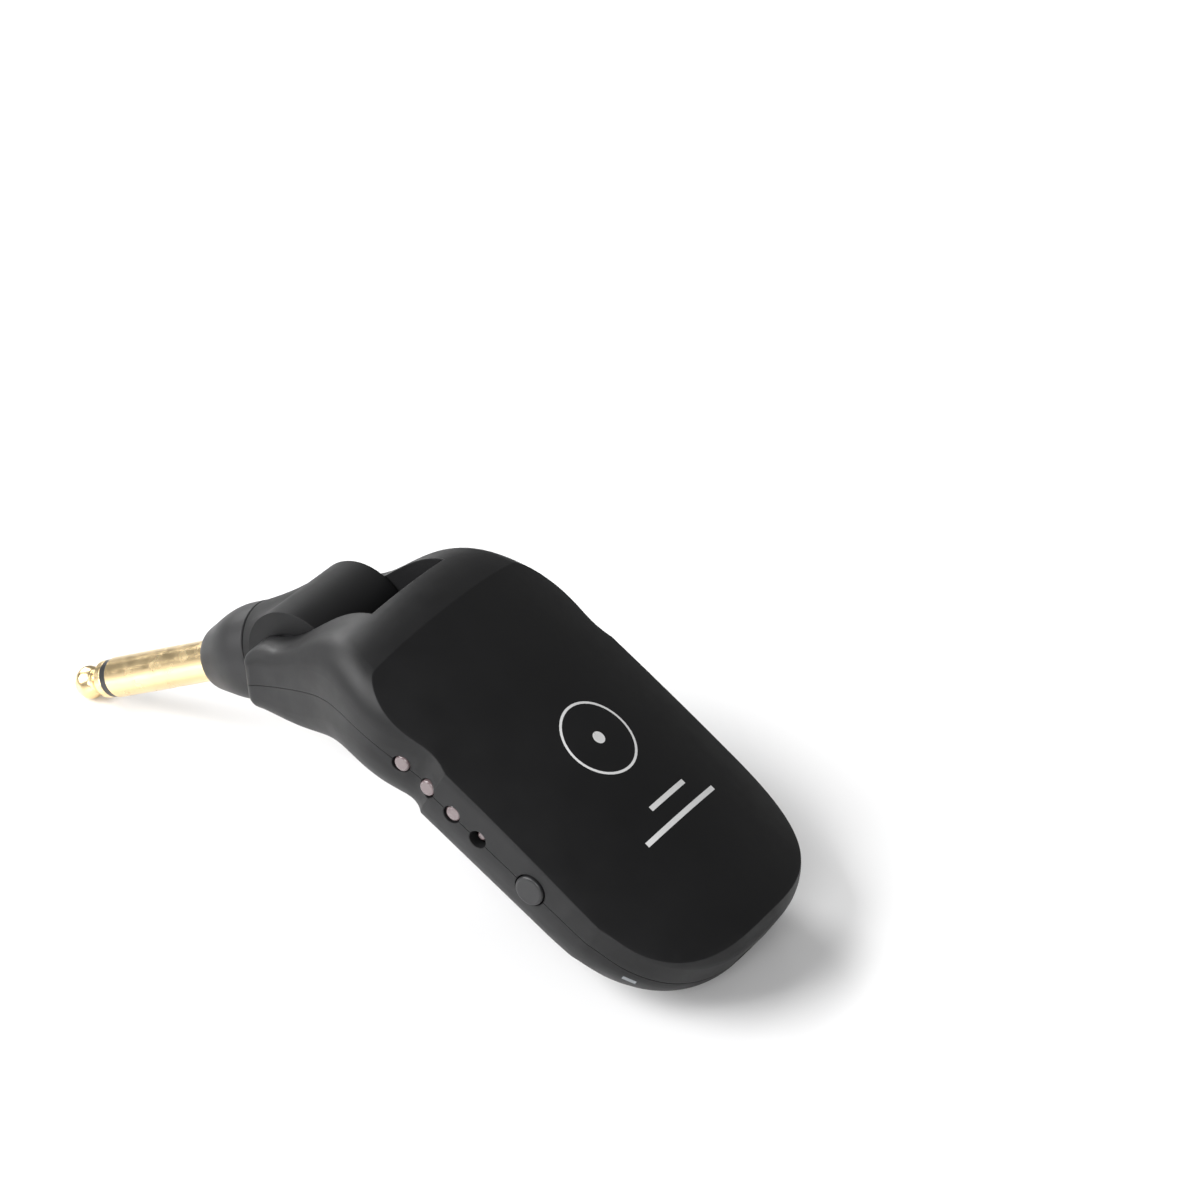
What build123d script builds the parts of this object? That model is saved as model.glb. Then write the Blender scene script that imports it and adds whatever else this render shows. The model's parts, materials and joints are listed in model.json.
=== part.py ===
from build123d import *
import os
from math import cos, pi, sin

# A pocket transmitter for an electric guitar: a rounded paddle whose neck bends down into two arms.
# A knuckle turns between the arms and carries a 6.35 mm mono jack plug.
# Housing pieces are drawn in the paddle frame: origin on the hinge axis at the centre plane,
# +X towards the tail, -Y towards the side with the lights, +Z out of the face.
# Knuckle pieces are drawn in the plug frame: the same origin and Y, with +X along the plug.
# At the end the object is tilted to stand like a bridge, on its tail and on the tip of its plug.

# ---------------------------------------------------------------- paddle and neck, mm
half_width = 21.4            # paddle, centre plane to side wall
parting_z = 14.2             # height of the parting line over the hinge axis
belly_drop = 9.7             # parting line to the flat underside
face_rise = 8.7              # parting line to the crest of the crowned face
crown_radius = 62.0          # face curvature across the paddle
crest_radius = 620.0         # face curvature along the paddle
crest_x = 26.0               # where the face is highest
crest_reach = 60.0           # the face surface is drawn this far to each side of its crest
tail_x = 76.3                # tail end of the paddle
tail_length = 21.4           # stretch over which the plan closes
tail_power = 2.65            # exponent of the superelliptic tail
belly_round = 9.0            # rounding along the underside
shoulder_round = 6.5         # rounding along the upper rim, before the face trims it
least_round = 0.6            # smallest rounding inside the shell
wall = 1.7                   # shell thickness
seam = 0.12                  # open line between the shells
form_rise = 10.2             # the forms run this far over the parting line before the face trims them
paddle_start = 30.0          # where the neck's loft hands over to the paddle

# Stations of the neck, tip to paddle: top at the centre plane and bottom, each as x and z, then
# half width, sag of the top edge towards its sides, and rounding above and below.
neck_stations = [
    ((-6.3, -1.7), (-1.0, -9.2), 13.7, 0.4, 1.8, 2.6),
    ((-2.9, 4.3), (5.2, -5.3), 14.4, 0.8, 2.2, 3.2),
    ((0.0, 10.9), (10.3, -1.5), 15.9, 1.4, 3.2, 4.2),
    ((4.7, 19.5), (15.0, 2.1), 18.6, 3.0, 5.2, 6.2),
    ((11.6, 22.65), (19.8, 3.95), 21.1, 3.8, 5.4, 7.8),
    ((20.0, 24.3), (25.0, 4.5), half_width, 0.7, shoulder_round, belly_round),
    ((paddle_start, 24.4), (paddle_start, 4.5), half_width, 0, shoulder_round, belly_round),
]
# The parting line along the neck, as x and z.
parting_line = [(-9.4, -13.0), (-3.2, -5.2), (1.8, 1.1), (5.8, 5.9), (11.6, 11.2), (17.5, 13.6),
                (24.0, parting_z)]
tip_round = 1.6              # rounding of the arms' ends

# ---------------------------------------------------------------- fork
slot_half = 8.9              # centre plane to an arm's inner wall
# Back wall of the slot from the underside up, as x and z.
slot_back = [(13.4, -5.0), (9.5, 0.7), (9.4, 3.2), (7.3, 11.0), (5.5, 19.4), (5.3, 30.0)]
web_line = [(10.6, 40.0), (14.8, -20.0)]     # the hollow starts behind this line, as x and z

# ---------------------------------------------------------------- knuckle and plug, along the plug
drum_radius = 8.5
drum_half = 8.6
root_x = 3.5                 # hinge axis to the start of the knuckle's neck
root_width, root_height = 16.6, 15.4
hollow_low, hollow_high = (-5.2, -6.4, -5.4), (7.2, 6.4, 5.4)     # hollow of the knuckle
ring_reach = 10.9            # hinge axis to the ring gap
ring_radius = 7.4
ring_gap = 0.35
spigot_end = 15.0            # the knuckle's spigot inside the collar
spigot_radius = 5.0
step_x = 20.9                # inside the collar, where the sleeve's flange ends
collar_front = 23.2          # hinge axis to the collar's front
collar_nose = 5.2            # collar radius at its front
plug_radius = 3.175          # quarter inch plug
plug_end = 56.3              # hinge axis to the end of the tip contact
tip_length = 8.0             # end of the tip contact to the insulating ring
ring_length = 1.3            # insulating ring
tip_radius = 2.98            # insulating ring and the root of the tip contact
ball_radius = 2.65
waist_radius = 1.95          # waist of the tip contact
sleeve_rear = 3.4            # rear end of the sleeve
seat_gap = 0.05              # radial clearance of seated pieces
thread_radius = 3.9
flange_radius = 4.7
shank_radius = 3.45          # the sleeve inside the collar
tube_radius = 1.8            # insulating tube round the centre rod
rod_radius = 1.1             # centre rod of the tip contact
rod_rear = 0.8               # rear end of the centre rod
nut_x, nut_thick, nut_corner = 5.2, 2.0, 5.1
lug_x, lug_thick, lug_radius = 4.6, 0.6, 5.0
tip_lug_x, tip_lug_thick, tip_lug_radius = 1.2, 0.5, 2.3
plug_fold = 122.2            # turn of the plug from the tail direction, at rest

# ---------------------------------------------------------------- hinge
pin_radius = 1.5
pin_inner = 5.7              # a pin's inner end, from the centre plane
pin_outer = 11.6             # a pin's outer end, inside the arm
run_clearance = 0.05         # radial clearance of the pins in the knuckle
washer_radius = 4.8
washer_thick = 0.8
recess_depth = 1.1
cable_radius = 0.6
cable_y = 12.2               # the cable's way along the far arm
channel_radius = 0.95
channel_run = (15.0, 14.2)   # where the cable leaves the arm, as x and z

# ---------------------------------------------------------------- lights, button, port
light_x = 24.0               # first light
light_pitch = 5.05
light_hole = 1.4             # radius
lens_radius = 1.25
sunk_lens_radius = 0.75      # the last light is small and set deep
button_x = 49.3
button_hole = 2.5            # radius
button_gap = 0.2
button_proud = 0.45
button_flange = 3.6          # half length of the flange inside the wall
button_stem = 0.8            # radius, also the switch plunger's
switch_gap = 2.5             # wall to the switch
switch_half, switch_depth = 2.3, 3.2
switch_rise = 1.6            # parting line to the switch's top and bottom
port_width, port_height, port_depth = 8.9, 3.2, 7.2
port_sheet = 0.3
port_sunk = 0.5              # port's mouth inside the end of the tail
window_place = (67.6, -18.9, 12.4)
window_turn = -62.0          # plan direction that the window looks in, degrees
window_half_width, window_half_height = 1.1, 0.35

# ---------------------------------------------------------------- inside the housing
board_top = parting_z - 0.6
board_thick = 0.8
board_inset = 3.2
board_start = 20.5
screw_places = [(66.5, 11.5), (66.5, -11.5)]
boss_radius = 2.0
boss_foot = 6.0              # height at which a boss starts, inside the floor
screw_radius = 0.8
screw_length = 4.0
head_radius, head_height = 1.45, 0.9
cell_low, cell_high = (27.0, -12.5, 7.1), (61.0, 12.5, 12.3)
tongue_inset = 0.95
tongue_rise = 1.1
can = ((31.0, -9.0, board_top), (46.0, 5.0, board_top + 2.2))
radio_chip = ((35.0, -5.0, board_top), (41.0, 1.0, board_top + 0.9))
charge_chip = ((60.5, -7.0, board_top), (64.5, -3.0, board_top + 0.9))
antenna = ((21.6, -4.5, board_top), (23.4, 4.5, board_top + 1.2))
lead_plug = ((53.0, 4.4, board_top), (57.0, 9.2, board_top + 2.4))
lead_radius = 0.45
lead_places = [6.1, 7.5]


def box(low, high):
    size = [b - a for a, b in zip(low, high)]
    middle = [(a + b) / 2 for a, b in zip(low, high)]
    return Pos(*middle) * Box(*size)


def soft_box(low, high, radius):
    solid = box(low, high)
    return fillet(solid.edges(), radius)


def rod(start, direction, length, radius):
    plane = Plane(origin=start, z_dir=direction)
    return plane * Cylinder(radius, length, align=(Align.CENTER, Align.CENTER, Align.MIN))


def slab(outline, low_y, high_y):
    """A closed outline of x and z points, run out between two places on Y."""
    face = make_face(Polyline(*[(x, low_y, z) for x, z in outline], close=True))
    return extrude(face, amount=high_y - low_y, dir=(0, 1, 0))


def turned(profile):
    """A closed outline of place along X and radius, turned round X."""
    face = make_face(Polyline(*[(x, 0, r) for x, r in profile], close=True))
    return revolve(face, Axis.X, 360)


def tube(start, end, outer, inner):
    return turned([(start, inner), (start, outer), (end, outer), (end, inner)])


def wire(points, bend, radius):
    path = FilletPolyline(*points, radius=bend)
    profile = Plane(origin=points[0], z_dir=path % 0) * Circle(radius)
    return sweep(profile, path)


# ---------------------------------------------------------------- forms of the housing
def inset_round(radius, inset):
    """The rounding of a form drawn inset from one with this rounding."""
    return max(radius - 0.75 * inset, least_round)


def neck_section(station, inset):
    (top_x, top_z), (low_x, low_z), width, sag, round_above, round_below = station
    upward = Vector(top_x - low_x, 0, top_z - low_z)
    side = width - inset
    top = upward.length - inset
    crown = Line((-side, top), (side, top))
    if sag > 0:
        crown = ThreePointArc((-side, top - sag), (0, top), (side, top - sag))
    sides = Polyline((-side, top - sag), (-side, inset), (side, inset), (side, top - sag))
    face = make_face(crown + sides)
    face = fillet(face.vertices().sort_by(Axis.Y)[:2], inset_round(round_below, inset))
    face = fillet(face.vertices().sort_by(Axis.Y)[-2:], inset_round(round_above, inset))
    along = Vector(0, 1, 0).cross(upward)
    return Plane(origin=(low_x, 0, low_z), x_dir=(0, 1, 0), z_dir=along) * face


def plan_outline(inset):
    """The paddle seen from above: straight sides and a superelliptic tail."""
    side = half_width - inset
    reach = tail_length - inset
    start = tail_x - tail_length
    tail = []
    for step in range(9):
        angle = pi / 2 * (1 - step / 8)
        x = start + reach * abs(cos(angle)) ** (2 / tail_power)
        tail.append((x, side * abs(sin(angle)) ** (2 / tail_power)))
    mirrored = [(x, -y) for x, y in reversed(tail[:-1])]
    curve = Spline(*tail, *mirrored, tangents=[(1, 0), (-1, 0)])
    ends = Polyline((start, side), (paddle_start, side), (paddle_start, -side), (start, -side))
    return make_face(curve + ends)


def paddle_form(inset):
    low = parting_z - belly_drop + inset
    high = parting_z + form_rise - inset
    block = extrude(Pos(0, 0, low) * plan_outline(inset), amount=high - low)
    for level, radius in ((low, belly_round), (high, shoulder_round)):
        rim = [e for e in block.edges().filter_by_position(Axis.Z, level - 0.01, level + 0.01)
               if e.center().X > paddle_start + 0.1]
        block = fillet(rim, inset_round(radius, inset))
    return block


def face_form(inset):
    """A barrel whose skin is the crowned face."""
    top = parting_z + face_rise - inset
    axis_z = top - crown_radius
    end_z = top - crest_radius + (crest_radius ** 2 - crest_reach ** 2) ** 0.5
    low_x, high_x = crest_x - crest_reach, crest_x + crest_reach
    skin = ThreePointArc((low_x, 0, end_z), (crest_x, 0, top), (high_x, 0, end_z))
    rest = Polyline((high_x, 0, end_z), (high_x, 0, axis_z), (low_x, 0, axis_z), (low_x, 0, end_z))
    return revolve(make_face(skin + rest), Axis((0, 0, axis_z), (1, 0, 0)), 360)


def body_form(inset):
    neck = loft([neck_section(s, inset) for s in neck_stations])
    return (neck + paddle_form(inset)) & face_form(inset)


def slot_cut(grow):
    """The space between the arms; grow moves its walls outwards into the neck."""
    back = [(x + grow, z) for x, z in slot_back]
    outline = back + [(-30, back[-1][1]), (-30, -30), (back[0][0], -30)]
    return slab(outline, -slot_half - grow, slot_half + grow)


def parting_tool(shift):
    """Everything under the parting line, moved up or down by shift."""
    path = [(x, 0, z) for x, z in parting_line]
    curve = Spline(*path, tangents=[(0.62, 0, 0.78), (1, 0, 0)])
    end = path[-1]
    rest = Polyline(end, (90, 0, parting_z), (90, 0, -40), (path[0][0], 0, -40), path[0])
    return Pos(0, -40, shift) * extrude(make_face(curve + rest), amount=80, dir=(0, 1, 0))


# ---------------------------------------------------------------- housing shells
def round_tips(body):
    end = body.faces().sort_by(Axis.X)[0]
    return fillet(end.edges(), tip_round)


def wall_openings():
    """Holes through the housing's walls for the lights, the button, the port and the window."""
    side = -half_width - 1
    holes = [rod((light_x + light_pitch * number, side, parting_z), (0, 1, 0), 4, light_hole)
             for number in range(4)]
    holes.append(rod((button_x, side, parting_z), (0, 1, 0), 4, button_hole))
    port = Plane(origin=(tail_x + 1, 0, parting_z), x_dir=(0, 1, 0), z_dir=(-1, 0, 0))
    holes.append(port * extrude(SlotOverall(port_width + 0.3, port_height + 0.3), 6))
    holes.append(window_bar(0, 2.4, 1.2))
    return holes


def window_bar(gap, inward, outward):
    """A bar through the wall beside the tail; gap makes it smaller all round."""
    width, height = window_half_width - gap, window_half_height - gap
    bar = box((-inward, -width, -height), (outward, width, height))
    return Pos(*window_place) * Rot(0, 0, window_turn) * bar


def hinge_seats():
    """Bores in the arms for the pins, and the far arm's channel for the cable."""
    seats = [rod((0, side * (slot_half - 1), 0), (0, side, 0), pin_outer - slot_half + 1, pin_radius)
             for side in (-1, 1)]
    seats.append(rod((0, pin_outer - 0.1, 0), (0, 1, 0), 1.6, channel_radius))
    seats.append(rod((0, cable_y, 0), (channel_run[0], 0, channel_run[1]), 22, channel_radius))
    return seats


def tongue(inset, rise):
    ring = plan_outline(inset) - plan_outline(wall)
    return extrude(Pos(0, 0, parting_z - 0.6) * ring, amount=rise + 0.6)


def screw_bosses():
    height = board_top - board_thick - boss_foot
    return [rod((x, y, boss_foot), (0, 0, 1), height, boss_radius) for x, y in screw_places]


def make_shells():
    solid = round_tips(body_form(0))
    front = slab([(-40, 40), *web_line, (-40, -20)], -30, 30)
    hollow = body_form(wall) - slot_cut(wall) - front
    shell = solid - hollow - slot_cut(0)
    lower = shell & parting_tool(-seam / 2)
    upper = shell - parting_tool(seam / 2)
    lower += tongue(tongue_inset, tongue_rise)
    upper -= tongue(tongue_inset - 0.1, tongue_rise + 0.15)
    for boss in screw_bosses():
        lower += boss
    for x, y in screw_places:
        lower -= rod((x, y, 8.0), (0, 0, 1), 10, screw_radius)
    for hole in wall_openings() + hinge_seats():
        lower -= hole
        upper -= hole
    return lower, upper


# ---------------------------------------------------------------- lights, button, window
def light_lens(number):
    x = light_x + light_pitch * number
    sunk = number == 3
    radius = sunk_lens_radius if sunk else lens_radius
    front = -half_width + (1.0 if sunk else 0.25)
    lens = rod((x, front, parting_z), (0, 1, 0), -half_width + 3.0 - front, radius)
    return fillet(lens.edges().group_by(Axis.Y)[0], 0.35)


def light_chip(number):
    x = light_x + light_pitch * number
    return box((x - 0.8, -18.3, board_top), (x + 0.8, -17.3, board_top + 1.2))


def button_cap():
    inner = -half_width + wall
    radius = button_hole - button_gap
    front = -half_width - button_proud
    head = rod((button_x, front, parting_z), (0, 1, 0), inner + 0.2 - front, radius)
    head = fillet(head.edges().group_by(Axis.Y)[0], 0.4)
    flange = box((button_x - button_flange, inner + 0.2, parting_z - 0.9),
                 (button_x + button_flange, inner + 0.9, parting_z + 1.6))
    stem = rod((button_x, inner + 0.9, parting_z), (0, 1, 0), 1.1, button_stem)
    return head + flange + stem


def switch_plunger():
    return rod((button_x, -half_width + wall + 2.0, parting_z), (0, 1, 0), 1.8, button_stem)


def tact_switch():
    front = -half_width + wall + switch_gap
    body = box((button_x - switch_half, front, parting_z - switch_rise),
               (button_x + switch_half, front + switch_depth, parting_z + switch_rise))
    return body - rod((button_x, front - 1, parting_z), (0, 1, 0), 3.0, button_stem + 0.1)


# ---------------------------------------------------------------- board and battery
def circuit_board():
    plate = extrude(Pos(0, 0, board_top - board_thick) * plan_outline(board_inset), amount=board_thick)
    plate += box((board_start, -17.2, board_top - board_thick), (paddle_start + 1, 17.2, board_top))
    for x, y in screw_places:
        plate -= rod((x, y, 5), (0, 0, 1), 20, screw_radius + 0.1)
    lead_x = cell_high[0] + 1.9
    plate -= box((lead_x - 0.7, lead_places[0] - 0.7, 5), (lead_x + 0.7, lead_places[1] + 0.7, 20))
    switch_back = -half_width + wall + switch_gap + switch_depth
    room = switch_half + 0.2
    plate -= box((button_x - room, -30, 5), (button_x + room, switch_back + 0.1, 20))
    port_back = tail_x - port_sunk - port_depth
    side = port_width / 2 + 0.2
    plate -= box((port_back - 0.7, -side, 5), (tail_x + 5, side, 20))
    return plate


def board_screws():
    screws = []
    for x, y in screw_places:
        shank = rod((x, y, board_top - screw_length), (0, 0, 1), screw_length, screw_radius - seat_gap)
        head = rod((x, y, board_top), (0, 0, 1), head_height, head_radius)
        slot = box((x - 1.6, y - 0.2, board_top + 0.5), (x + 1.6, y + 0.2, board_top + 1.5))
        screws.append(shank + head - slot)
    return screws


def charge_port():
    plane = Plane(origin=(tail_x - port_sunk, 0, parting_z), x_dir=(0, 1, 0), z_dir=(-1, 0, 0))
    shell = plane * extrude(SlotOverall(port_width, port_height), port_depth)
    mouth = SlotOverall(port_width - 2 * port_sheet, port_height - 2 * port_sheet)
    return shell - plane * extrude(mouth, port_depth - 2 * port_sheet)


def port_tongue():
    back = tail_x - port_sunk - port_depth + 2 * port_sheet
    return box((back, -3.3, parting_z - 0.35), (back + 5.2, 3.3, parting_z + 0.35))


def battery_cell():
    return soft_box(cell_low, cell_high, 1.2)


def battery_pad():
    x0, y0, z0 = cell_low
    x1, y1, _ = cell_high
    return box((x0 + 2, y0 + 2, z0 - 0.8), (x1 - 2, y1 - 2, z0))


def battery_lead(y):
    """A lead from the cell's tail end, up through the board's window and back to the connector."""
    end_x = cell_high[0]
    up_x, top_z = end_x + 1.9, board_top + 1.2
    points = [(end_x, y, 10.0), (up_x, y, 10.0), (up_x, y, top_z), (lead_plug[1][0], y, top_z)]
    return wire(points, 0.8, lead_radius)


def radio_can():
    low, high = can
    inside = box((low[0] + 0.3, low[1] + 0.3, low[2] - 1), (high[0] - 0.3, high[1] - 0.3, high[2] - 0.3))
    return box(low, high) - inside


def signal_cable():
    """From the knuckle's hollow through the far pin and the far arm to the board."""
    leave_x, leave_z = channel_run
    points = [(0, pin_inner - 0.4, 0), (0, cable_y, 0), (leave_x, cable_y, leave_z),
              (23.0, 9.0, board_top + cable_radius + 0.7)]
    return wire(points, 1.2, cable_radius)


# ---------------------------------------------------------------- knuckle and plug, plug frame
def knuckle_solid():
    drum = rod((0, -drum_half, 0), (0, 1, 0), 2 * drum_half, drum_radius)
    root = Plane(origin=(root_x, 0, 0), x_dir=(0, 1, 0), z_dir=(1, 0, 0))
    ring = Plane(origin=(ring_reach, 0, 0), x_dir=(0, 1, 0), z_dir=(1, 0, 0))
    neck = loft([root * RectangleRounded(root_width, root_height, 3.5), ring * Circle(ring_radius)])
    spigot = rod((ring_reach - 1, 0, 0), (1, 0, 0), spigot_end - ring_reach + 1, spigot_radius)
    body = drum + neck + spigot - box(hollow_low, hollow_high)
    body -= rod((7, 0, 0), (1, 0, 0), 10, thread_radius + seat_gap)
    for side in (-1, 1):
        body -= rod((0, side * 5, 0), (0, side, 0), 5, pin_radius + run_clearance)
        body -= rod((0, side * (drum_half - recess_depth), 0), (0, side, 0), 5, washer_radius + 0.1)
    return body


def knuckle_halves():
    body = knuckle_solid()
    upper = body & box((-20, -20, seam / 2), (30, 20, 20))
    lower = body & box((-20, -20, -20), (30, 20, -seam / 2))
    return upper, lower


def hinge_washer(side):
    inner = drum_half - recess_depth
    disc = rod((0, side * inner, 0), (0, side, 0), washer_thick, washer_radius)
    return disc - rod((0, side * 5, 0), (0, side, 0), 9, pin_radius + run_clearance)


def hinge_pin(side):
    pin = rod((0, side * pin_inner, 0), (0, side, 0), pin_outer - pin_inner, pin_radius)
    return pin - rod((0, side * 4, 0), (0, side, 0), 10, cable_radius + 0.15)


def collar():
    back = ring_reach + ring_gap
    outline = [(back, ring_radius - 0.2), (back + 0.2, ring_radius), (back + 2.5, ring_radius)]
    skirt = Spline((back + 2.5, 0, ring_radius), (18.5, 0, 6.55), (21.4, 0, 5.5),
                   (collar_front - 0.4, 0, collar_nose - 0.25), (collar_front, 0, collar_nose - 0.7),
                   tangents=[(1, 0, 0), (0.1, 0, -1)])
    step = step_x + 0.1
    edge = Polyline((collar_front, 0, collar_nose - 0.7), (collar_front, 0, shank_radius + seat_gap),
                    (step, 0, shank_radius + seat_gap), (step, 0, flange_radius + 0.1),
                    (spigot_end, 0, flange_radius + 0.1), (spigot_end, 0, spigot_radius + seat_gap),
                    (back, 0, spigot_radius + seat_gap), *[(x, 0, r) for x, r in outline])
    return revolve(make_face(skirt + edge), Axis.X, 360)


def plug_sleeve():
    root = plug_end - tip_length - ring_length
    profile = [(sleeve_rear, tube_radius), (sleeve_rear, thread_radius), (spigot_end, thread_radius),
               (spigot_end, flange_radius), (step_x, flange_radius), (step_x, shank_radius),
               (collar_front + 0.1, shank_radius), (collar_front + 0.1, plug_radius),
               (root - 0.1, plug_radius), (root, plug_radius - 0.1), (root, tube_radius)]
    return turned(profile)


def insulator_tube():
    return tube(2.6, plug_end - tip_length - ring_length, tube_radius, rod_radius)


def insulator_ring():
    front = plug_end - tip_length
    return tube(front - ring_length, front, tip_radius, rod_radius)


def plug_tip():
    back = plug_end - tip_length
    ball = plug_end - ball_radius
    waist = back + 3.6
    profile = Polyline((rod_rear, 0, 0), (rod_rear, 0, rod_radius), (back, 0, rod_radius),
                       (back, 0, tip_radius - 0.15), (back + 0.15, 0, tip_radius),
                       (back + 1.3, 0, tip_radius), (waist - 0.6, 0, waist_radius), (waist, 0, waist_radius))
    nose = Spline((waist, 0, waist_radius), (ball - 1.15, 0, 2.3), (ball, 0, ball_radius),
                  (ball + ball_radius * 0.7071, 0, ball_radius * 0.7071), (plug_end, 0, 0),
                  tangents=[(0.5, 0, 0.5), (0, 0, -1)])
    return revolve(make_face(profile + nose + Line((plug_end, 0, 0), (rod_rear, 0, 0))), Axis.X, 360)


def plug_nut():
    hexagon = Plane(origin=(nut_x, 0, 0), z_dir=(1, 0, 0)) * extrude(RegularPolygon(nut_corner, 6), nut_thick)
    return hexagon - rod((nut_x - 1, 0, 0), (1, 0, 0), nut_thick + 2, thread_radius)


def ground_lug():
    plate = rod((lug_x, 0, 0), (1, 0, 0), lug_thick, lug_radius)
    plate += box((lug_x, -1.2, 0), (lug_x + lug_thick, 1.2, lug_radius + 0.2))
    return plate - rod((lug_x - 1, 0, 0), (1, 0, 0), 3, thread_radius)


def tip_lug():
    plate = rod((tip_lug_x, 0, 0), (1, 0, 0), tip_lug_thick, tip_lug_radius)
    plate += box((tip_lug_x, -0.9, -4.4), (tip_lug_x + tip_lug_thick, 0.9, 0))
    return plate - rod((tip_lug_x - 1, 0, 0), (1, 0, 0), 3, rod_radius)


# ---------------------------------------------------------------- all the pieces
bottom_shell, top_shell = make_shells()
housing = {
    "top_shell": top_shell,
    "bottom_shell": bottom_shell,
    "status_window": window_bar(0.05, 2.2, 0.15),
    "tact_switch": tact_switch(),
    "circuit_board": circuit_board(),
    "charge_port": charge_port(),
    "port_tongue": port_tongue(),
    "battery_cell": battery_cell(),
    "battery_pad": battery_pad(),
    "battery_lead_positive": battery_lead(lead_places[0]),
    "battery_lead_negative": battery_lead(lead_places[1]),
    "battery_connector": box(*lead_plug),
    "radio_can": radio_can(),
    "radio_chip": box(*radio_chip),
    "charge_chip": box(*charge_chip),
    "antenna": box(*antenna),
    "signal_cable": signal_cable(),
    "hinge_pin_near": hinge_pin(-1),
    "hinge_pin_far": hinge_pin(1),
}
for number in range(4):
    housing[f"light_lens_{number + 1}"] = light_lens(number)
    housing[f"light_chip_{number + 1}"] = light_chip(number)
housing["board_screws"] = Compound(children=board_screws())

button = {"power_button": button_cap(), "switch_plunger": switch_plunger()}

knuckle_upper, knuckle_lower = knuckle_halves()
knuckle = {
    "knuckle_upper_half": knuckle_upper,
    "knuckle_lower_half": knuckle_lower,
    "hinge_washer_near": hinge_washer(-1),
    "hinge_washer_far": hinge_washer(1),
    "plug_collar": collar(),
    "plug_sleeve": plug_sleeve(),
    "insulator_tube": insulator_tube(),
    "insulator_ring": insulator_ring(),
    "plug_tip": plug_tip(),
    "plug_nut": plug_nut(),
    "ground_lug": ground_lug(),
    "tip_lug": tip_lug(),
}


# ---------------------------------------------------------------- standing the object up
def lowest(shape, tilt):
    return (Rot(0, tilt, 0) * shape).bounding_box().min.Z


def standing_tilt():
    """The tilt that puts the tail and the tip of the plug on one level."""
    tip = Rot(0, plug_fold, 0) * knuckle["plug_tip"]
    low, high = 20.0, 40.0
    for _ in range(16):
        middle = (low + high) / 2
        if lowest(bottom_shell, middle) > lowest(tip, middle):
            low = middle
        else:
            high = middle
    return (low + high) / 2


tilt = standing_tilt()
standing = Rot(0, tilt, 0)
placed = {name: standing * piece for name, piece in {**housing, **button}.items()}
placed.update({name: standing * Rot(0, plug_fold, 0) * piece for name, piece in knuckle.items()})

boxes = [piece.bounding_box() for piece in placed.values()]
low_x, high_x = min(b.min.X for b in boxes), max(b.max.X for b in boxes)
shift = Pos(-(low_x + high_x) / 2, 0, -min(b.min.Z for b in boxes))
print(f"tilt {tilt:.3f} degrees, hinge at x {shift.position.X:.4f}, z {shift.position.Z:.4f}")

os.makedirs("parts", exist_ok=True)
for name, piece in placed.items():
    export_step(shift * piece, f"parts/{name}.step")
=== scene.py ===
import json
import math

import bmesh
import bpy
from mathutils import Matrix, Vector
from mathutils.bvhtree import BVHTree


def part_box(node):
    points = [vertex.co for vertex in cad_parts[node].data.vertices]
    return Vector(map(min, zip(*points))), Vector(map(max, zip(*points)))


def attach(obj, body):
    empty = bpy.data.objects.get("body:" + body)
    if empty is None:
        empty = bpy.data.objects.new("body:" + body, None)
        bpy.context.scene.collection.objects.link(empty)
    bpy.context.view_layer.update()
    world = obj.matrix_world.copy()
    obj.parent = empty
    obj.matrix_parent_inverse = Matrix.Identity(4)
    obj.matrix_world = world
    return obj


MM = 0.001
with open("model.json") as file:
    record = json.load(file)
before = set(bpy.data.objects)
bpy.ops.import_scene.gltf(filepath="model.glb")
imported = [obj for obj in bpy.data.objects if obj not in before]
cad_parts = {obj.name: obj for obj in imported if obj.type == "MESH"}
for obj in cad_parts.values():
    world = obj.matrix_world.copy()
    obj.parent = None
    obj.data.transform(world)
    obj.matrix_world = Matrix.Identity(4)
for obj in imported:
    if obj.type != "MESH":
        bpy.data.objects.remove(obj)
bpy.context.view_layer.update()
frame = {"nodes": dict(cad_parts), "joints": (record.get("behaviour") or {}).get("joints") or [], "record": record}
nodes = frame["nodes"]
record = frame["record"]

# ---------------------------------------------------------------- the paddle's own directions
hinge = next(j for j in frame["joints"] if j["name"] == "plug_hinge")
socket = next(m for m in record["mounts"] if m["name"] == "charge_socket")
plug = next(m for m in record["mounts"] if m["name"] == "jack_plug")
HINGE = Vector(hinge["pos_m"])
TAILWARD = Vector(socket["axis"]).normalized()
ACROSS = Vector((0, 1, 0))
OUTWARD = TAILWARD.cross(ACROSS)
PLUGWARD = Vector(plug["axis"]).normalized()


# ---------------------------------------------------------------- shader building
EDGE_HIGHLIGHT_POINTINESS = (0.51, 0.56)   # from here to here an edge turns from plain colour to the painted edge highlight
GRAIN_DEPTH = 0.04 * MM          # depth of the moulded texture
TOOL_DEPTH = 0.03 * MM           # depth of the tool lines on metal
METAL_EDGE = 0.08 * MM           # rounding of edges of metal
TARNISH_SCALE = 140              # features per metre


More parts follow.
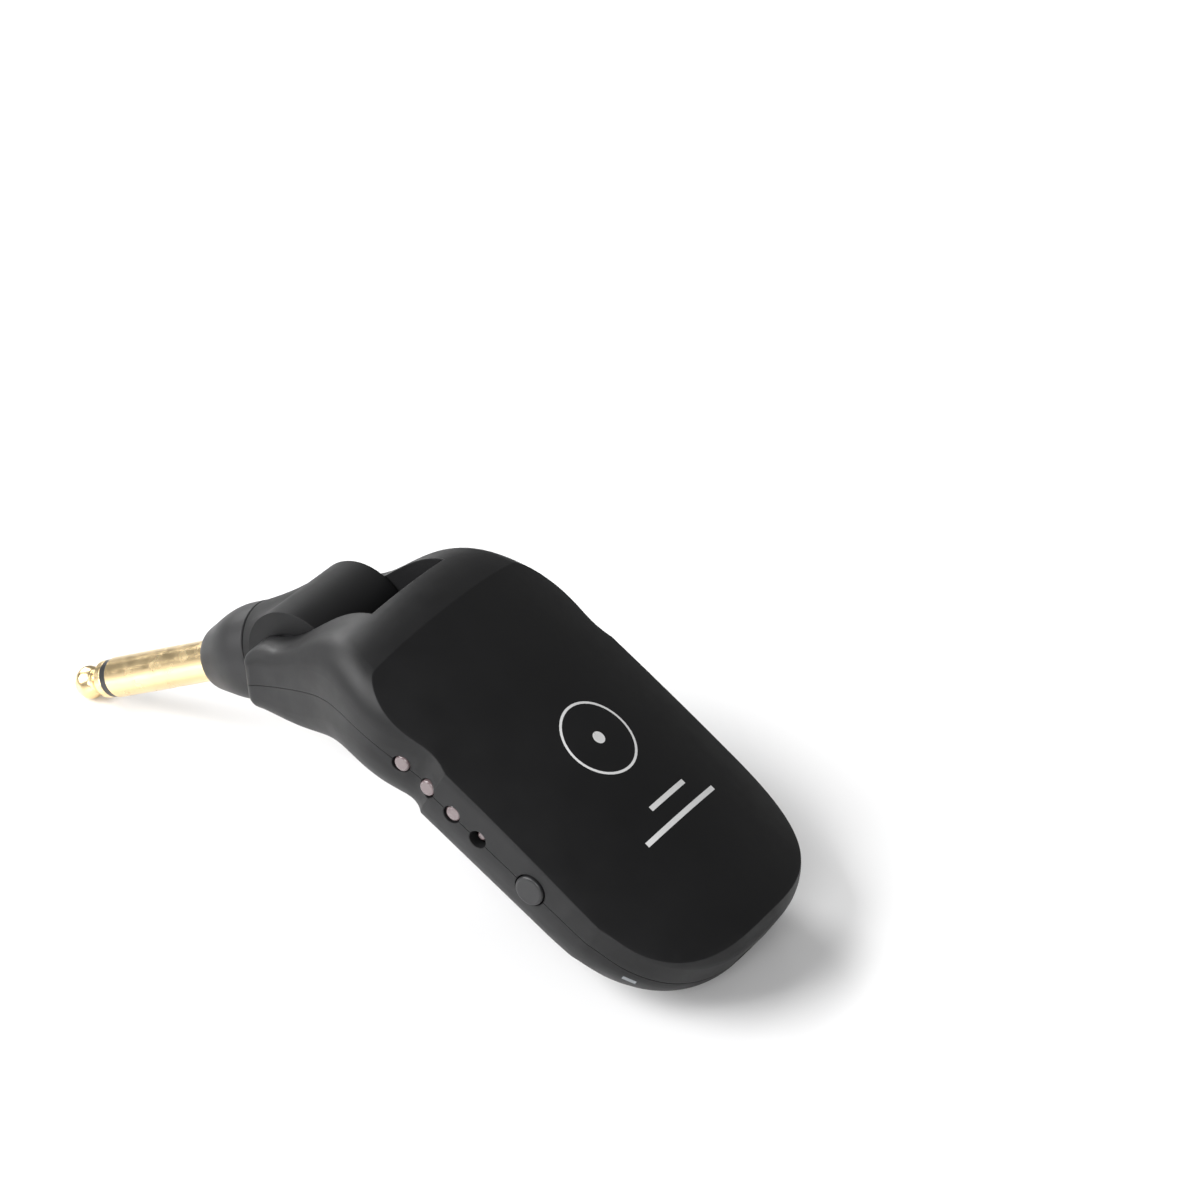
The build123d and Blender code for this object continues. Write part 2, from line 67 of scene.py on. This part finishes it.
class Shader:
    """A Principled material with a few helpers for procedural detail."""

    def __init__(self, name):
        self.material = bpy.data.materials.new(name)
        self.material.use_nodes = True
        self.tree = self.material.node_tree
        self.surface = self.tree.nodes["Principled BSDF"]

    def node(self, kind, **values):
        made = self.tree.nodes.new(kind)
        for key, value in values.items():
            setattr(made, key, value)
        return made

    def link(self, output, socket_name, target=None):
        self.tree.links.new(output, (target or self.surface).inputs[socket_name])

    def noise(self, scale, detail=4.0, stretch=None, turn=None):
        """Noise in the object's own metres; scale counts features per metre."""
        place = self.node("ShaderNodeTexCoord").outputs["Object"]
        if stretch is not None:
            mapping = self.node("ShaderNodeMapping")
            mapping.inputs["Rotation"].default_value = turn or (0, 0, 0)
            mapping.inputs["Scale"].default_value = stretch
            self.link(place, "Vector", mapping)
            place = mapping.outputs["Vector"]
        noise = self.node("ShaderNodeTexNoise")
        noise.inputs["Scale"].default_value = scale
        noise.inputs["Detail"].default_value = detail
        self.link(place, "Vector", noise)
        return noise.outputs["Fac"]

    def spread(self, factor, low, high, start=0.3, end=0.7):
        """Maps noise onto a range."""
        ramp = self.node("ShaderNodeMapRange")
        ramp.inputs["From Min"].default_value = start
        ramp.inputs["From Max"].default_value = end
        ramp.inputs["To Min"].default_value = low
        ramp.inputs["To Max"].default_value = high
        self.link(factor, "Value", ramp)
        return ramp.outputs["Result"]

    def blend(self, factor, first, second):
        mix = self.node("ShaderNodeMix", data_type="RGBA")
        for number, colour in ((6, first), (7, second)):
            if isinstance(colour, tuple):
                mix.inputs[number].default_value = (*colour, 1)
            else:
                self.tree.links.new(colour, mix.inputs[number])
        self.tree.links.new(factor, mix.inputs[0])
        return mix.outputs[2]

    def edge_highlight_mask(self):
        """Mask of the painted edge highlight: 1 on outward edges, 0 elsewhere."""
        pointed = self.node("ShaderNodeNewGeometry").outputs["Pointiness"]
        return self.spread(pointed, 0, 1, *EDGE_HIGHLIGHT_POINTINESS)

    def bump(self, height, strength, distance, rounded=0.0):
        bump = self.node("ShaderNodeBump")
        bump.inputs["Strength"].default_value = strength
        bump.inputs["Distance"].default_value = distance
        self.link(height, "Height", bump)
        if rounded:
            bevel = self.node("ShaderNodeBevel", samples=4)
            bevel.inputs["Radius"].default_value = rounded
            self.link(bevel.outputs["Normal"], "Normal", bump)
        self.link(bump.outputs["Normal"], "Normal")

    def set(self, **values):
        for key, value in values.items():
            self.surface.inputs[key.replace("_", " ")].default_value = value


def shade(level):
    """A black or grey with a trace of blue."""
    return (level, level, level * 1.08)


def plastic(name, colour, roughness, specular=0.5, rounded=0.12, grain=2600, edge_highlight_gain=1.6):
    """Moulded plastic: fine spark texture, faint handling marks and a painted highlight on outward edges."""
    shader = Shader(name)
    cloud = shader.noise(60, 3)
    tint = tuple(min(1, c * 1.18 + 0.0008) for c in colour)
    body = shader.blend(shader.spread(cloud, 0, 1), colour, tint)
    # painted highlight: outward edges get a lighter colour than the body
    edge_highlight_colour = tuple(min(1, c * edge_highlight_gain + 0.002) for c in colour)
    shader.link(shader.blend(shader.edge_highlight_mask(), body, edge_highlight_colour), "Base Color")
    smudge = shader.noise(180, 5)
    shader.link(shader.spread(smudge, roughness - 0.05, roughness + 0.06), "Roughness")
    shader.set(**{"Specular IOR Level": specular})
    shader.bump(shader.noise(grain, 2), 0.12, GRAIN_DEPTH, rounded * MM)
    return shader


def metal(name, colour, roughness, lines=(1, 1, 1), turn=None):
    """Turned or rolled metal: fine tool lines, patchy polish and a darker tint in random patches."""
    shader = Shader(name)
    cloud = shader.noise(TARNISH_SCALE, 4)
    tarnish = tuple(c * 0.86 for c in colour)
    shader.link(shader.blend(shader.spread(cloud, 0, 1, 0.35, 0.75), colour, tarnish), "Base Color")
    smudge = shader.noise(420, 5)
    shader.link(shader.spread(smudge, roughness - 0.05, roughness + 0.07), "Roughness")
    shader.set(Metallic=1.0)
    tool = shader.noise(900, 3, lines, turn)
    shader.bump(tool, 0.10, TOOL_DEPTH, METAL_EDGE)
    return shader


def make_materials():
    plug_turn = (0, math.atan2(-PLUGWARD.z, PLUGWARD.x), 0)
    made = {
        "housing_plastic": plastic("shell", shade(0.0045), 0.5, 0.3, 0.25),
        "knuckle_plastic": plastic("knuckle", shade(0.003), 0.5, 0.2, 0.2),
        "collar_plastic": plastic("collar", shade(0.007), 0.45, 0.36, 0.2),
        "button_plastic": plastic("button", shade(0.010), 0.38, 0.45, 0.1),
        "plunger_plastic": plastic("plunger", (0.3, 0.04, 0.03), 0.4),
        "washer_plastic": plastic("washer", shade(0.012), 0.5),
        "switch_plastic": plastic("switch", shade(0.02), 0.45),
        "port_plastic": plastic("port_insert", shade(0.02), 0.5),
        "connector_plastic": plastic("connector", (0.7, 0.66, 0.55), 0.45),
        "chip_plastic": plastic("chip", shade(0.015), 0.5, grain=5000),
        "insulator_plastic": plastic("insulator", shade(0.006), 0.3, 0.5, 0.05),
        "antenna_ceramic": plastic("ceramic", (0.6, 0.6, 0.56), 0.4),
        "light_package": plastic("light_package", (0.75, 0.7, 0.45), 0.3),
        "cell_wrap": plastic("cell_wrap", (0.35, 0.36, 0.38), 0.3, 0.6, 0.4),
        "foam": plastic("foam", shade(0.03), 0.9, 0.1, grain=1500),
        "lead_red": plastic("lead_red", (0.45, 0.02, 0.02), 0.4, 0.5, 0),
        "lead_black": plastic("lead_black", shade(0.01), 0.4, 0.5, 0),
        "board_laminate": plastic("board", (0.01, 0.09, 0.035), 0.35, 0.5, 0),
        "plug_gold": metal("gold", (0.92, 0.71, 0.40), 0.23, (14, 0.4, 0.4), plug_turn),
        "nut_brass": metal("nut_brass", (0.78, 0.56, 0.25), 0.3),
        "lug_brass": metal("lug_brass", (0.8, 0.72, 0.5), 0.35),
        "port_steel": metal("port_steel", (0.62, 0.62, 0.64), 0.28),
        "pin_steel": metal("pin_steel", (0.55, 0.55, 0.57), 0.25),
        "screw_steel": metal("screw_steel", (0.5, 0.5, 0.52), 0.3),
        "shield_metal": metal("shield", (0.7, 0.7, 0.7), 0.35),
        "window_plastic": plastic("window", (0.16, 0.17, 0.18), 0.2, 0.6, 0.03, edge_highlight_gain=1.2),
    }
    lens = plastic("lens", (0.17, 0.125, 0.13), 0.14, 0.6, 0.05, edge_highlight_gain=1.2)
    lens.set(**{"Transmission Weight": 0.35, "Coat Weight": 0.5, "Coat Roughness": 0.08})
    made["lens_plastic"] = lens
    return {slot: shader.material for slot, shader in made.items()}


def dress(materials):
    slots = {part["node"]: part["material_slot"] for part in record["subparts"]}
    for name, piece in nodes.items():
        piece.data.materials.clear()
        piece.data.materials.append(materials[slots[name]])


# ---------------------------------------------------------------- printed mark
FACE_LIFT = 0.02 * MM        # printed ink stands this far over the plastic
FACE_SEEK = 40 * MM          # the search for the face starts this far out
MARK_CENTRE = (40.5 * MM, 1.0 * MM)      # along the paddle and across it
RING_RADIUS = 6.0 * MM
RING_STROKE = 0.4 * MM
DOT_RADIUS = 1.0 * MM
RULE_STROKE = 0.8 * MM
SHORT_RULE = (53.0 * MM, -1.8 * MM, 7.1 * MM)    # place along the paddle, then its two ends across
LONG_RULE = (56.4 * MM, -6.9 * MM, 11.0 * MM)


def on_face(tree, along, across):
    """The point of the face over a place in the paddle's frame, along and across in metres."""
    start = HINGE + TAILWARD * along + ACROSS * across + OUTWARD * FACE_SEEK
    found, normal, *_ = tree.ray_cast(start, -OUTWARD)
    return found + normal * FACE_LIFT


def ribbon(tree, name, centres, width, material):
    """A flat printed stroke along a line of places on the face."""
    mesh = bmesh.new()
    rows = []
    for number, (along, across) in enumerate(centres):
        before = centres[max(number - 1, 0)]
        after = centres[min(number + 1, len(centres) - 1)]
        run = Vector((after[0] - before[0], after[1] - before[1])).normalized()
        side = Vector((-run.y, run.x)) * width / 2
        rows.append([mesh.verts.new(on_face(tree, along + side.x * sign, across + side.y * sign))
                     for sign in (-1, 0, 1)])
    for first, second in zip(rows, rows[1:]):
        for step in range(2):
            mesh.faces.new((first[step], first[step + 1], second[step + 1], second[step]))
    bmesh.ops.recalc_face_normals(mesh, faces=mesh.faces)
    data = bpy.data.meshes.new(name)
    mesh.to_mesh(data)
    mesh.free()
    stroke = bpy.data.objects.new(name, data)
    bpy.context.scene.collection.objects.link(stroke)
    data.materials.append(material)
    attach(stroke, "housing")


def ring_places(centre, radius, steps=48):
    """Places round a ring."""
    angles = [2 * math.pi * step / steps for step in range(steps + 1)]
    return [(centre[0] - radius * math.cos(a), centre[1] + radius * math.sin(a)) for a in angles]


def line_places(along, low, high, steps=16):
    return [(along, low + (high - low) * step / steps) for step in range(steps + 1)]


def print_mark():
    """A plain printed mark: a ring round a dot, and two rules under it."""
    ink = plastic("ink", (0.62, 0.62, 0.62), 0.5, 0.3, 0, grain=4000, edge_highlight_gain=1.0).material
    tree = BVHTree.FromObject(nodes["top_shell"], bpy.context.evaluated_depsgraph_get())
    ribbon(tree, "print_ring", ring_places(MARK_CENTRE, RING_RADIUS), RING_STROKE, ink)
    ribbon(tree, "print_dot", ring_places(MARK_CENTRE, DOT_RADIUS / 2), DOT_RADIUS, ink)
    ribbon(tree, "print_rule_short", line_places(*SHORT_RULE), RULE_STROKE, ink)
    ribbon(tree, "print_rule_long", line_places(*LONG_RULE), RULE_STROKE, ink)


# ---------------------------------------------------------------- floor, light and camera
LIGHT_TARGET = (0, 0, 0.02)
AMBIENT = 0.24
LIGHTS = {                   # place, width and height, power in watts
    "key": ((-0.75, -0.75, 0.75), (0.9, 0.9), 26.0),
    "side": ((-0.9, 0.35, 0.6), (0.5, 0.5), 9.0),
    "fill": ((0.5, -1.1, 0.6), (0.8, 0.6), 12.0),
}
FLOOR_SIDE = 6
LENS = 115.3                 # focal length, mm
FRAME_SHIFT = (0.166, 0.1368)
AZIMUTH, ELEVATION = math.radians(35.55), math.radians(35.18)
CAMERA_REACH = 0.5368        # front of the first light to the camera


def area_light(name, place, size, power):
    data = bpy.data.lights.new(name, "AREA")
    data.shape = "RECTANGLE"
    data.size, data.size_y = size
    data.energy = power
    lamp = bpy.data.objects.new(name, data)
    lamp.location = place
    lamp.rotation_euler = (Vector(LIGHT_TARGET) - Vector(place)).to_track_quat("-Z", "Y").to_euler()
    bpy.context.scene.collection.objects.link(lamp)


def make_floor():
    shader = Shader("floor")
    cloud = shader.noise(6, 3)
    patchy = shader.spread(cloud, 0, 1)
    shader.link(shader.blend(patchy, (0.9, 0.9, 0.9), (0.88, 0.88, 0.885)), "Base Color")
    shader.link(shader.spread(shader.noise(40, 3), 0.14, 0.2), "Roughness")
    shader.set(**{"Specular IOR Level": 0.5})
    bpy.ops.mesh.primitive_grid_add(x_subdivisions=8, y_subdivisions=8, size=FLOOR_SIDE)
    floor = bpy.context.object
    floor.name = "floor"
    floor.data.materials.append(shader.material)


def make_light():
    world = bpy.data.worlds.new("studio")
    world.use_nodes = True
    background = world.node_tree.nodes["Background"]
    background.inputs["Color"].default_value = (1, 1, 1, 1)
    background.inputs["Strength"].default_value = AMBIENT
    bpy.context.scene.world = world
    for name, (place, size, power) in LIGHTS.items():
        area_light(name, place, size, power)


def make_camera():
    """A long lens, level, above and in front of the side with the lights."""
    data = bpy.data.cameras.new("camera")
    data.lens = LENS
    data.shift_x, data.shift_y = FRAME_SHIFT
    camera = bpy.data.objects.new("camera", data)
    level = math.cos(ELEVATION)
    back = Vector((math.sin(AZIMUTH) * level, -math.cos(AZIMUTH) * level, math.sin(ELEVATION)))
    low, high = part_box("light_lens_1")
    aim = Vector(((low.x + high.x) / 2, low.y, (low.z + high.z) / 2))
    camera.location = aim + back * CAMERA_REACH
    camera.rotation_euler = (-back).to_track_quat("-Z", "Y").to_euler()
    bpy.context.scene.collection.objects.link(camera)
    bpy.context.scene.camera = camera


dress(make_materials())
print_mark()
make_floor()
make_light()
make_camera()
bpy.context.scene.view_settings.view_transform = "Standard"
